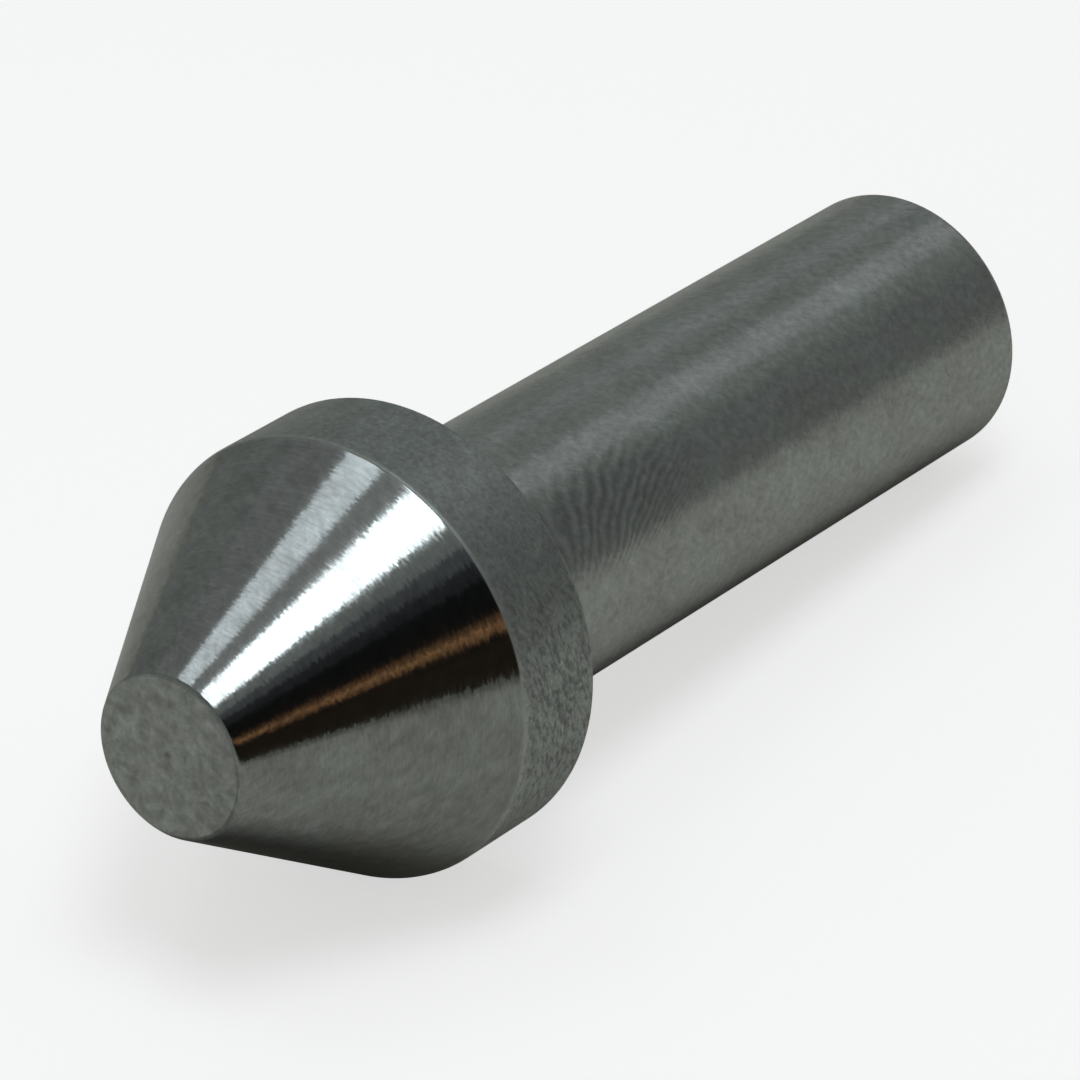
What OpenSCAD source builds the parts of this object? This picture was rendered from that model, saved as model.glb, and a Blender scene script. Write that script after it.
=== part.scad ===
// Live center with a straight shank. The 60 degree head turns on a fixed spindle.
// A thrust bearing takes the push of the work, and two ball bearings hold the head radially.
// Millimetres. The axis lies along X with the nose towards -X. The origin is on the axis at the
// gauge plane, where the ground shank starts. Each module draws along Z, and on_axis() lays it on X.

/* [Shank] */
// Diameter of the ground shank
shank_d = 19.05; // [15:0.05:23]
// Length of the ground shank, from the gauge plane to the tail face
shank_l = 57.15; // [40:0.05:90]
// Chamfer at the tail
tail_chamfer = 1; // [0.3:0.1:2]
// Mouth diameter of the center hole in the tail face
center_hole_d = 5; // [3.5:0.1:7]
// Diameter of the pilot drilling below the center hole
center_pilot_d = 2; // [1:0.1:3]
// Length of the pilot drilling
center_pilot_l = 3; // [1:0.5:6]

/* [Head] */
// Largest diameter of the head
head_d = 30; // [25:0.1:36]
// Diameter of the flat nose
nose_d = 11; // [9:0.1:13.5]
// Included angle of the cone
cone_angle = 60; // [50:1:72]
// Solid thickness behind the flat nose
nose_web = 3.5; // [2.5:0.1:6]
// Running gap between the head and the gauge plane
head_gap = 0.5; // [0.3:0.1:2]

/* [Main ball bearing] */
// Bore
main_bore = 12; // [10:0.1:14.4]
// Outer diameter
main_od = 21; // [17.5:0.1:25.2]
// Width
main_w = 5; // [4:0.1:7]
// Number of balls
main_balls_n = 14; // [9:1:14]

/* [Thrust bearing] */
// Bore of the shaft washer
thrust_bore = 8; // [6.5:0.1:9.6]
// Outer diameter of the housing washer
thrust_od = 16; // [13.3:0.1:19.2]
// Height of the two washers with the balls between them
thrust_h = 5; // [4:0.1:6]
// Number of balls
thrust_balls_n = 9; // [6:1:9]

/* [Front ball bearing] */
// Bore
front_bore = 5; // [4.1:0.1:6]
// Outer diameter
front_od = 10; // [8.3:0.1:12]
// Width
front_w = 4; // [3:0.1:5]
// Number of balls
front_balls_n = 9; // [6:1:9]

/* [Cover nut and seal] */
// Thickness of the cover nut
nut_t = 2.6; // [2.2:0.1:4]
// How deep the cover nut sits below the back face of the head
nut_recess = 0.3; // [0.1:0.1:1]
// Width of the four spanner slots
slot_w = 2.4; // [1.5:0.1:4]
// Depth of the spanner slots
slot_depth = 0.7; // [0.4:0.1:0.8]
// Width of the shaft seal
seal_w = 1.2; // [0.8:0.1:1.4]
// Working height of the preload spring
spring_h = 0.7; // [0.5:0.1:1]
// Number of waves in the preload spring
spring_waves = 4; // [3:1:6]

/* [Hidden] */
$fn = 96;

// Clearances.
race_gap = 0.02;      // between a ball and its raceways
pocket_gap = 0.06;    // between a ball and its cage pocket
shield_gap = 0.15;    // between a shield's inner edge and the inner ring
seal_gap = 0.03;      // between the seal lip and the seal land
nut_gap = 0.3;        // between the cover nut's bore and the seal land
washer_gap = 0.1;     // radial, round the shaft washer and in the housing washer's bore
step_gap = 0.3;       // axial, between two pieces that must not touch
land_gap = 0.5;       // axial, between the end of the seal land and the preload spring

// Edges.
edge_break = 0.15;    // on the head's front edges
rear_break = 0.3;     // on the head's back edge
thread_lead = 0.3;    // lead-in chamfer of the cover nut's thread

// Bearing proportions.
ball_share = 0.53;    // ball diameter as a share of the section between bore and outer diameter
ball_width_share = 0.48; // and its most as a share of the width
shoulder_share = 0.36;   // ring shoulders stand this share of a ball off the pitch circle
groove_share = 0.52;  // raceway groove radius as a share of the ball diameter
shield_t = 0.2;
shield_inset = 0.2;   // from the bearing's side face
shield_seat = 0.2;    // how far the shield sits in the outer ring
cage_t = 0.5;
cage_side = 0.3;      // cage metal at each side of a ball
thrust_ball_share = 0.7;
thrust_groove = 0.4;  // depth of the grooves in the thrust washers
thrust_cage_t = 0.8;

// Center hole in the tail.
center_hole_half_angle = 30;
drill_half_angle = 59;

// Spindle steps.
land_step = 0.6;      // the seal land is this much smaller in radius than the shank
abutment_drop = 0.5;  // the abutment stands this much below the inner ring's shoulder
pilot_chamfer = 0.3;
relief = 0.15;        // depth of the grinding reliefs
relief_w = 0.5;

// Retaining ring on the main journal.
clip_t = 1;
clip_side = 0.1;      // axial play in its groove
clip_land = 0.6;      // journal left beyond the groove
clip_groove = 0.25;
clip_back = 1.8;      // radial width opposite the gap
clip_front = 1.0;     // radial width beside the lugs
clip_lug_share = 1 / 3; // lug radius as a share of the bearing's radial section
clip_lug_sink = 0.1;  // lugs start this far inside the groove
clip_lug_angle = 20;  // and to each side of the gap
clip_hole_d = 1.4;
clip_gap_w = 2;

// Cover nut.
nut_rim = 1.7;        // least radial thickness of the nut
thread_h = 1;         // thread stands this much outside the main bearing
nut_front_web = 0.4;  // nut metal in front of the seal
seal_depth = 0.9;     // seal groove, out from the nut's bore
thread_runout = 0.3;

// Preload spring.
spring_t = 0.2;
spring_clear = 0.2;   // radial, to the main bore
spring_w = 1.3;       // radial width
spring_steps = 72;

// Small mark that facing leaves at the middle of the nose.
pip_r = 0.45;
pip_depth = 0.12;

function pitch_r(bore, od) = (bore + od) / 4;
function ball_r(bore, od, w) = min(ball_share * (od - bore) / 2, ball_width_share * w) / 2;
function inner_shoulder_r(bore, od, w) = pitch_r(bore, od) - 2 * shoulder_share * ball_r(bore, od, w);
function outer_shoulder_r(bore, od, w) = pitch_r(bore, od) + 2 * shoulder_share * ball_r(bore, od, w);

// Radii.
shank_r = shank_d / 2;
land_r = shank_r - land_step;
nut_bore_r = land_r + nut_gap;
thread_r = max(main_od / 2 + thread_h, nut_bore_r + nut_rim);
seal_out_r = nut_bore_r + seal_depth;
main_r = main_od / 2;
thrust_r = thrust_od / 2;
front_r = front_od / 2;
head_r = head_d / 2;
nose_r = nose_d / 2;
half_angle = cone_angle / 2;
thrust_ball_r = thrust_ball_share * (thrust_od - thrust_bore) / 4;
thrust_washer_t = (thrust_h - 2 * thrust_ball_r) / 2 + thrust_groove;
thrust_pitch_r = pitch_r(thrust_bore, thrust_od);
abutment_r = inner_shoulder_r(main_bore, main_od, main_w) - abutment_drop;
neck_r = (front_bore / 2 + inner_shoulder_r(front_bore, front_od, front_w)) / 2;
clip_groove_r = main_bore / 2 - clip_groove;
clip_lug_r = clip_lug_share * (main_od - main_bore) / 2;
clip_lug_out = clip_lug_r - clip_lug_sink; // lug centres, out from the groove

// Places along the axis, from the back of the head towards the nose.
z_head_back = -head_gap;
z_nut_back = z_head_back - nut_recess;
z_nut_front = z_nut_back - nut_t;
z_seal = z_nut_front + nut_front_web;
z_land_end = z_nut_front + land_gap;
z_thread_end = z_nut_front - thread_runout;
z_main_back = z_nut_front - spring_h;
z_main_front = z_main_back - main_w;
z_clip_front = z_main_front - clip_t;
z_groove_front = z_clip_front - clip_side;
z_thrust_back = z_groove_front - clip_land;
z_thrust_mid = z_thrust_back - thrust_h / 2;
z_thrust_front = z_thrust_back - thrust_h;
z_main_bore_end = z_thrust_back + clip_land / 2;
z_front_back = z_thrust_front - step_gap;
z_front_front = z_front_back - front_w;
z_pilot_end = z_front_front - step_gap;
z_cavity_end = z_pilot_end - step_gap;
z_nose = z_cavity_end - nose_web;
z_cone_back = z_nose + (head_r - nose_r) / tan(half_angle);
main_mid = (z_main_back + z_main_front) / 2;
front_mid = (z_front_back + z_front_front) / 2;

module on_axis() rotate([0, 90, 0]) children();

// Fixed parts ---------------------------------------------------------------------------------

module spindle_profile() {
    hole_r = center_hole_d / 2;
    drill_r = center_pilot_d / 2;
    z_cone = shank_l - (hole_r - drill_r) / tan(center_hole_half_angle);
    z_drill = z_cone - center_pilot_l;
    polygon([
        [0, z_drill - drill_r / tan(drill_half_angle)],
        [drill_r, z_drill],
        [drill_r, z_cone],
        [hole_r, shank_l],
        [shank_r - tail_chamfer, shank_l],
        [shank_r, shank_l - tail_chamfer],
        [shank_r, 0],
        [land_r, 0],
        [land_r, z_land_end],
        [abutment_r, z_land_end],
        [abutment_r, z_main_back],
        [main_bore / 2 - relief, z_main_back],
        [main_bore / 2 - relief, z_main_back - relief_w],
        [main_bore / 2, z_main_back - relief_w],
        [main_bore / 2, z_main_front],
        [clip_groove_r, z_main_front],
        [clip_groove_r, z_groove_front],
        [main_bore / 2, z_groove_front],
        [main_bore / 2, z_thrust_back],
        [thrust_bore / 2 - relief, z_thrust_back],
        [thrust_bore / 2 - relief, z_thrust_back - relief_w],
        [thrust_bore / 2, z_thrust_back - relief_w],
        [thrust_bore / 2, z_thrust_back - thrust_washer_t - step_gap],
        [neck_r, z_thrust_back - thrust_washer_t - step_gap],
        [neck_r, z_front_back + step_gap],
        [front_bore / 2, z_front_back + step_gap],
        [front_bore / 2, z_pilot_end + pilot_chamfer],
        [front_bore / 2 - pilot_chamfer, z_pilot_end],
        [0, z_pilot_end],
    ]);
}

module spindle() {
    color("slategray") on_axis() rotate_extrude() spindle_profile();
}

module retaining_ring_outline() {
    difference() {
        union() {
            translate([(clip_front - clip_back) / 2, 0])
                circle(r = clip_groove_r + (clip_front + clip_back) / 2);
            for (side = [-1, 1]) rotate(side * clip_lug_angle)
                translate([clip_groove_r + clip_lug_out, 0]) circle(r = clip_lug_r);
        }
        circle(r = clip_groove_r);
        translate([0, -clip_gap_w / 2]) square([main_bore, clip_gap_w]);
        for (side = [-1, 1]) rotate(side * clip_lug_angle)
            translate([clip_groove_r + clip_lug_out, 0]) circle(d = clip_hole_d);
    }
}

module retaining_ring() {
    color("dimgray") on_axis() translate([0, 0, z_clip_front])
        linear_extrude(height = clip_t) retaining_ring_outline();
}

// Ball bearings -------------------------------------------------------------------------------

// Profiles stand with the ball circle at height 0. They are turned about the bearing's axis.
module outer_ring_profile(bore, od, w) {
    b = ball_r(bore, od, w);
    shoulder = outer_shoulder_r(bore, od, w);
    groove = 2 * b * groove_share;
    seat = w / 2 - shield_inset - shield_t;
    difference() {
        translate([shoulder, -w / 2]) square([od / 2 - shoulder, w]);
        translate([pitch_r(bore, od) + b + race_gap - groove, 0]) circle(r = groove);
        for (side = [-1, 1])
            translate([shoulder, side > 0 ? seat : -w / 2])
                square([shield_seat, w / 2 - seat]);
    }
}

module inner_ring_profile(bore, od, w) {
    b = ball_r(bore, od, w);
    groove = 2 * b * groove_share;
    difference() {
        translate([bore / 2, -w / 2]) square([inner_shoulder_r(bore, od, w) - bore / 2, w]);
        translate([pitch_r(bore, od) - b - race_gap + groove, 0]) circle(r = groove);
    }
}

module outer_ring(bore, od, w) rotate_extrude() outer_ring_profile(bore, od, w);

module inner_ring(bore, od, w) rotate_extrude() inner_ring_profile(bore, od, w);

module balls(pitch, b, n) {
    for (i = [0 : n - 1]) rotate(i * 360 / n) translate([pitch, 0, 0]) sphere(r = b);
}

module ball_cage(bore, od, w, n) {
    b = ball_r(bore, od, w);
    half = b + cage_side;
    difference() {
        rotate_extrude() translate([pitch_r(bore, od) - cage_t / 2, -half]) square([cage_t, 2 * half]);
        for (i = [0 : n - 1]) rotate(i * 360 / n) translate([pitch_r(bore, od) - cage_t, 0, 0])
            rotate([0, 90, 0]) cylinder(r = b + pocket_gap, h = 2 * cage_t);
    }
}

// A pressed plate that sits in the outer ring and ends just off the inner ring.
module shield(bore, od, w, side) {
    seat = w / 2 - shield_inset - shield_t;
    inner = inner_shoulder_r(bore, od, w) + shield_gap;
    outer = outer_shoulder_r(bore, od, w) + shield_seat;
    rotate_extrude() translate([inner, side > 0 ? seat : -seat - shield_t])
        square([outer - inner, shield_t]);
}

// Main bearing: carries the back of the head.
module at_main() on_axis() translate([0, 0, main_mid]) children();

module main_outer_ring() color("silver") at_main() outer_ring(main_bore, main_od, main_w);

module main_inner_ring() color("silver") at_main() inner_ring(main_bore, main_od, main_w);

module main_cage() color("tan") at_main() ball_cage(main_bore, main_od, main_w, main_balls_n);

module main_balls() color("gainsboro") at_main()
    balls(pitch_r(main_bore, main_od), ball_r(main_bore, main_od, main_w), main_balls_n);

module main_shield(side) color("darkgray") at_main() shield(main_bore, main_od, main_w, side);

// Front bearing: carries the nose end of the head.
module at_front() on_axis() translate([0, 0, front_mid]) children();

module front_outer_ring() color("silver") at_front() outer_ring(front_bore, front_od, front_w);

module front_inner_ring() color("silver") at_front() inner_ring(front_bore, front_od, front_w);

module front_cage() color("tan") at_front() ball_cage(front_bore, front_od, front_w, front_balls_n);

module front_balls() color("gainsboro") at_front()
    balls(pitch_r(front_bore, front_od), ball_r(front_bore, front_od, front_w), front_balls_n);

module front_shield(side) color("darkgray") at_front() shield(front_bore, front_od, front_w, side);

// Thrust bearing ------------------------------------------------------------------------------

module at_thrust() on_axis() translate([0, 0, z_thrust_mid]) children();

module thrust_groove_ring() {
    groove = 2 * thrust_ball_r * groove_share;
    rotate_extrude() translate([thrust_pitch_r, groove - thrust_ball_r - race_gap]) circle(r = groove);
}

module thrust_washer(inner, outer) {
    difference() {
        rotate_extrude() translate([inner, -thrust_h / 2]) square([outer - inner, thrust_washer_t]);
        thrust_groove_ring();
    }
}

// Sits on the spindle's shoulder.
module thrust_shaft_washer() color("silver") at_thrust()
    mirror([0, 0, 1]) thrust_washer(thrust_bore / 2, thrust_r - washer_gap);

// Sits on the seat in the head.
module thrust_housing_washer() color("silver") at_thrust()
    thrust_washer(thrust_bore / 2 + washer_gap, thrust_r);

module thrust_balls() color("gainsboro") at_thrust()
    balls(thrust_pitch_r, thrust_ball_r, thrust_balls_n);

module thrust_cage() {
    wide = thrust_ball_r + cage_side;
    color("darkgoldenrod") at_thrust() difference() {
        rotate_extrude() translate([thrust_pitch_r - wide, -thrust_cage_t / 2])
            square([2 * wide, thrust_cage_t]);
        balls(thrust_pitch_r, thrust_ball_r + pocket_gap, thrust_balls_n);
    }
}

// Turning head --------------------------------------------------------------------------------

module cone_head_profile() {
    front = [sin(half_angle), cos(half_angle)] * edge_break;
    polygon([
        [0, z_nose + pip_depth],
        [pip_r, z_nose],
        [nose_r - edge_break, z_nose],
        [nose_r, z_nose] + front,
        [head_r, z_cone_back] - front,
        [head_r, z_cone_back + edge_break],
        [head_r, z_head_back - rear_break],
        [head_r - rear_break, z_head_back],
        [thread_r + thread_lead, z_head_back],
        [thread_r, z_head_back - thread_lead],
        [thread_r, z_thread_end],
        [main_r, z_thread_end],
        [main_r, z_main_bore_end],
        [thrust_r, z_main_bore_end],
        [thrust_r, z_thrust_front],
        [front_r, z_thrust_front],
        [front_r, z_front_front],
        [pitch_r(front_bore, front_od), z_front_front],
        [pitch_r(front_bore, front_od), z_cavity_end],
        [0, z_cavity_end],
    ]);
}

module cone_head() {
    color("lightslategray") on_axis() rotate_extrude() cone_head_profile();
}

module cover_nut_profile() {
    difference() {
        polygon([
            [nut_bore_r, z_nut_front],
            [nut_bore_r, z_nut_back],
            [thread_r - thread_lead, z_nut_back],
            [thread_r, z_nut_back - thread_lead],
            [thread_r, z_nut_front + thread_lead],
            [thread_r - thread_lead, z_nut_front],
        ]);
        translate([nut_bore_r - 1, z_seal]) square([seal_depth + 1, seal_w]);
    }
}

module cover_nut() {
    color("dimgray") on_axis() difference() {
        rotate_extrude() cover_nut_profile();
        for (i = [0 : 3]) rotate(45 + 90 * i)
            translate([0, -slot_w / 2, z_nut_back - slot_depth])
                cube([thread_r + 1, slot_w, slot_depth + 1]);
    }
}

// A rubber ring with a heel in the nut's groove and a lip that runs on the seal land.
module shaft_seal() {
    lip_r = land_r + seal_gap;
    heel_r = seal_out_r - seal_depth / 2;
    color([0.1, 0.1, 0.1]) on_axis() translate([0, 0, z_seal]) rotate_extrude() polygon([
        [seal_out_r, 0],
        [seal_out_r, seal_w],
        [heel_r, seal_w],
        [lip_r, seal_w * 0.65],
        [lip_r, seal_w * 0.35],
        [heel_r, 0],
    ]);
}

// One flat turn of spring steel, bent into waves between the cover nut and the main outer ring.
module preload_spring() {
    out_r = main_r - spring_clear;
    in_r = out_r - spring_w;
    swing = (spring_h - spring_t) / 2;
    mid = (z_nut_front + z_main_back) / 2;
    corners = [[in_r, -spring_t / 2], [out_r, -spring_t / 2], [out_r, spring_t / 2], [in_r, spring_t / 2]];
    points = [
        for (i = [0 : spring_steps - 1]) let (a = i * 360 / spring_steps)
            for (c = corners) [c[0] * cos(a), c[0] * sin(a), mid + c[1] + swing * sin(spring_waves * a)]
    ];
    faces = [
        for (i = [0 : spring_steps - 1]) let (here = 4 * i, next = 4 * ((i + 1) % spring_steps))
            for (k = [0 : 3]) let (m = (k + 1) % 4)
                for (f = [[here + k, here + m, next + m], [here + k, next + m, next + k]]) f
    ];
    color("darkslategray") on_axis() polyhedron(points = points, faces = faces);
}

spindle();
cone_head();
cover_nut();
shaft_seal();
preload_spring();
retaining_ring();
main_outer_ring();
main_inner_ring();
main_cage();
main_balls();
main_shield(1);  // main_shield_rear
main_shield(-1);  // main_shield_front
thrust_shaft_washer();
thrust_housing_washer();
thrust_cage();
thrust_balls();
front_outer_ring();
front_inner_ring();
front_cage();
front_balls();
front_shield(1);  // front_shield_rear
front_shield(-1);  // front_shield_front
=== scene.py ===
# %% [markdown]
# # A straight-shank live center
#
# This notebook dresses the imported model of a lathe's live center. The model has a steel head with a
# blunt cone that turns on a fixed spindle, and the bearings, seal and nut between the two.
# The outside is bare steel, so nearly everything that the eye reads is a reflection: the shape of the
# lights, the direction of the tool marks, and how dull each face was left. The steps are: turn the two
# outside pieces afresh from the model's own outlines, set the balls, build the finishes, then light it.

import math

import bpy
from mathutils import Matrix, Vector


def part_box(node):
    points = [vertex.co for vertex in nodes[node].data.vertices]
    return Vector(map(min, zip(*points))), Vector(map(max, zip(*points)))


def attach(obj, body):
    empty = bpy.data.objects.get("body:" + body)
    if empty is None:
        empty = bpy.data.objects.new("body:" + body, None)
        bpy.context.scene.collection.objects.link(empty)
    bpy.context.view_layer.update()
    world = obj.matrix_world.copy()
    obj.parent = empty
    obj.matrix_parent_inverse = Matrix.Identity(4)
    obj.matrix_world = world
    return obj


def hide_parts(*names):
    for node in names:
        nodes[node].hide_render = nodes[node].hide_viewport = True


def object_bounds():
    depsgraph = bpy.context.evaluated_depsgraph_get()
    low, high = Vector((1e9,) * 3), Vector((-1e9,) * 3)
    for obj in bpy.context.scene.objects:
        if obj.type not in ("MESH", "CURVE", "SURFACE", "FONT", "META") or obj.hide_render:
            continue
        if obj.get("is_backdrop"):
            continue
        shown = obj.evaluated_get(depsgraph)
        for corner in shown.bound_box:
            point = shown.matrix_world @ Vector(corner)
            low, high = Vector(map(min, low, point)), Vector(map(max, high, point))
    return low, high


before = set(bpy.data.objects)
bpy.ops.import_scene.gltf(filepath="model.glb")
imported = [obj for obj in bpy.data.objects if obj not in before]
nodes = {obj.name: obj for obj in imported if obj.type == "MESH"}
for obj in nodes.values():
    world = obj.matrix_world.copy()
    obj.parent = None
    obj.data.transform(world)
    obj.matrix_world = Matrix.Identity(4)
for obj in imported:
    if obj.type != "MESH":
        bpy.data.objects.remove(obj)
cad_box = [list(corner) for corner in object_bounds()]
MM = 0.001

# %% [markdown]
# ## Sizes
#
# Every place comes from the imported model. The axis of the part is X, with the nose towards -X. The box
# of the head gives its largest radius and both ends, and the box of the spindle gives the shank. The
# nose and the angle of the cone then fix where the cone ends and the band begins.

# %% Read the main sizes
head_low, head_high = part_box("cone_head")
spindle_low, spindle_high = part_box("spindle")
nose_x = head_low.x
head_back_x = head_high.x
head_r = head_high.z
tail_x = spindle_high.x
shank_r = spindle_high.z

CONE_HALF_ANGLE = math.radians(30)
NOSE_R = 5.5 * MM
cone_back_x = nose_x + (head_r - NOSE_R) / math.tan(CONE_HALF_ANGLE)
print("head radius", round(head_r / MM, 3), "mm, shank radius", round(shank_r / MM, 3), "mm")
print("cone from", round(nose_x / MM, 2), "to", round(cone_back_x / MM, 2), "mm")

# %% [markdown]
# ## Node helpers
#
# Shader and geometry trees are both built from nodes and links. One small function adds a node, sets
# its properties and its inputs, and links any input that is given as another node's output. The trees
# below then read like lists of steps.

# %% Helpers for node trees
def add_node(tree, kind, inputs=None, **settings):
    """Add a node. An input is a plain value or another node's output socket."""
    node = tree.nodes.new(kind)
    for name, value in settings.items():
        setattr(node, name, value)
    for key, value in (inputs or {}).items():
        if isinstance(value, bpy.types.NodeSocket):
            tree.links.new(value, node.inputs[key])
        else:
            node.inputs[key].default_value = value
    return node


def add_math(tree, operation, first, second=0.0, third=0.0):
    """One math node, and its output."""
    node = add_node(tree, "ShaderNodeMath", {0: first, 1: second, 2: third}, operation=operation)
    return node.outputs[0]


def new_group(name, inputs, outputs):
    """A shader group of plain numbers, except that an output named Normal is a vector.

    Returns the tree, its input node and its output node.
    """
    tree = bpy.data.node_groups.new(name, "ShaderNodeTree")
    for socket, value in inputs.items():
        made = tree.interface.new_socket(socket, in_out="INPUT", socket_type="NodeSocketFloat")
        made.default_value = value
    for socket in outputs:
        kind = "NodeSocketVector" if socket == "Normal" else "NodeSocketFloat"
        tree.interface.new_socket(socket, in_out="OUTPUT", socket_type=kind)
    return tree, tree.nodes.new("NodeGroupInput"), tree.nodes.new("NodeGroupOutput")


# %% [markdown]
# ## Tool marks
#
# A lathe or grinder leaves fine lines that run round the axis. On a cone, a cylinder or a flat face
# they all follow one rule: the height changes quickly along the outline and slowly round the axis. So
# the noise reads three numbers: the distance along the outline, and the sine and cosine of the angle.
# Sine and cosine close on themselves, so no seam shows. Turning the angle as x grows slants the lines,
# and many changes round the axis with few along it gives the hatching of a polishing cloth.

# %% The tool marks group
def build_tool_marks():
    """Height of fine lines about the X axis."""
    tree, given, result = new_group(
        "tool marks", {"Along per mm": 6.0, "Around": 3.0, "Slant per mm": 0.0, "Seed": 0.0}, ["Height"])
    place = add_node(tree, "ShaderNodeTexCoord").outputs["Object"]
    x, y, z = add_node(tree, "ShaderNodeSeparateXYZ", {0: place}).outputs
    across = add_math(tree, "MULTIPLY", y, y)
    radius = add_math(tree, "SQRT", add_math(tree, "MULTIPLY_ADD", z, z, across))
    along = add_math(tree, "DIVIDE", add_math(tree, "ADD", x, radius), MM)
    angle = add_math(tree, "ARCTAN2", y, z)
    angle = add_math(tree, "MULTIPLY_ADD", along, given.outputs["Slant per mm"], angle)
    lines = add_math(tree, "MULTIPLY", along, given.outputs["Along per mm"])
    sine = add_math(tree, "MULTIPLY", add_math(tree, "SINE", angle), given.outputs["Around"])
    cosine = add_math(tree, "MULTIPLY", add_math(tree, "COSINE", angle), given.outputs["Around"])
    spot = add_node(tree, "ShaderNodeCombineXYZ", {0: lines, 1: sine, 2: cosine}).outputs[0]
    noise = add_node(tree, "ShaderNodeTexNoise",
                     {"Vector": spot, "W": given.outputs["Seed"], "Scale": 1.0, "Roughness": 0.6,
                      "Detail": 3.0}, noise_dimensions="4D")
    tree.links.new(noise.outputs["Fac"], result.inputs["Height"])
    return tree


tool_marks = build_tool_marks()
print("group:", tool_marks.name)

# %% [markdown]
# ## Frayed reflections
#
# On the real cone each turned line is a hair out of place round the axis, so the straight edge of a
# reflected lamp breaks into short dashes. A bump made of long thin lines tilts the surface along the
# outline and hardly at all round the axis, so it can't do this. The fray group tilts the normal
# directly, along the tangent that runs round the axis, by the same lines.

# %% The fray group
def build_fray():
    """A normal that swings round the axis from one turned line to the next."""
    tree, given, result = new_group(
        "fray", {"Along per mm": 4.0, "Around": 9.0, "Tilt": 0.2, "Seed": 0.0}, ["Normal"])
    lines = add_node(tree, "ShaderNodeGroup", {"Slant per mm": 0.0}, node_tree=tool_marks)
    for name in ("Along per mm", "Around", "Seed"):
        tree.links.new(given.outputs[name], lines.inputs[name])
    centred = add_math(tree, "SUBTRACT", lines.outputs[0], 0.5)
    swing = add_math(tree, "MULTIPLY", centred, given.outputs["Tilt"])
    round_x = add_node(tree, "ShaderNodeTangent", direction_type="RADIAL", axis="X").outputs[0]
    push = add_node(tree, "ShaderNodeVectorMath", {0: round_x, "Scale": swing}, operation="SCALE")
    normal = add_node(tree, "ShaderNodeNewGeometry").outputs["Normal"]
    tilted = add_node(tree, "ShaderNodeVectorMath", {0: normal, 1: push.outputs[0]}, operation="ADD")
    unit = add_node(tree, "ShaderNodeVectorMath", {0: tilted.outputs[0]}, operation="NORMALIZE")
    tree.links.new(unit.outputs[0], result.inputs["Normal"])
    return tree


fray = build_fray()
print("group:", fray.name)

# %% [markdown]
# ## Clouding and pits
#
# Handled steel is never one grey. Oil, fingers and old coolant leave soft clouds a few millimetres
# across. They are plain three-dimensional noise in the part's own millimetres, so they keep their
# scale on every piece. A cut that tore instead of sheared leaves small pits. These are the deepest
# spots of the same tool marks, so they are drawn out along the cut as real tears are.

# %% The clouding group and the pits group
PIT_LEVEL = 0.72
PIT_REACH = 0.5
PIT_RIM = 0.12


def build_clouding():
    """A soft mask from 0 to 1, in patches of the given size."""
    tree, given, result = new_group("clouding", {"Size mm": 3.0, "Contrast": 2.0, "Seed": 0.0}, ["Mask"])
    place = add_node(tree, "ShaderNodeTexCoord").outputs["Object"]
    scale = add_math(tree, "DIVIDE", 1 / MM, given.outputs["Size mm"])
    noise = add_node(tree, "ShaderNodeTexNoise",
                     {"Vector": place, "W": given.outputs["Seed"], "Scale": scale, "Detail": 5.0,
                      "Roughness": 0.62, "Distortion": 0.4}, noise_dimensions="4D")
    centred = add_math(tree, "SUBTRACT", noise.outputs["Fac"], 0.5)
    spread = add_math(tree, "MULTIPLY_ADD", centred, given.outputs["Contrast"], 0.5)
    held = add_node(tree, "ShaderNodeClamp", {0: spread}).outputs[0]
    tree.links.new(held, result.inputs["Mask"])
    return tree


def build_pits():
    """A mask that is 1 in scattered small pits, drawn out along the cut that tore them."""
    tree, given, result = new_group(
        "pits", {"Along per mm": 2.8, "Around": 24.0, "Slant per mm": 0.08, "Share": 0.3, "Seed": 0.0},
        ["Mask"])
    lines = add_node(tree, "ShaderNodeGroup", node_tree=tool_marks)
    for name in ("Along per mm", "Around", "Slant per mm", "Seed"):
        tree.links.new(given.outputs[name], lines.inputs[name])
    level = add_math(tree, "MULTIPLY_ADD", given.outputs["Share"], -PIT_REACH, PIT_LEVEL)
    full = add_math(tree, "ADD", level, PIT_RIM)
    mask = add_node(tree, "ShaderNodeMapRange",
                    {"Value": lines.outputs[0], "From Min": level, "From Max": full})
    tree.links.new(mask.outputs[0], result.inputs["Mask"])
    return tree


clouding = build_clouding()
pits = build_pits()
print("groups:", clouding.name, "and", pits.name)

# %% [markdown]
# ## Patches
#
# Some marks are in one place only. A patch is a soft spot given by its middle and its size, both along
# the axis and round it. The fourth power in its fall keeps the inside even and the rim soft.

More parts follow.
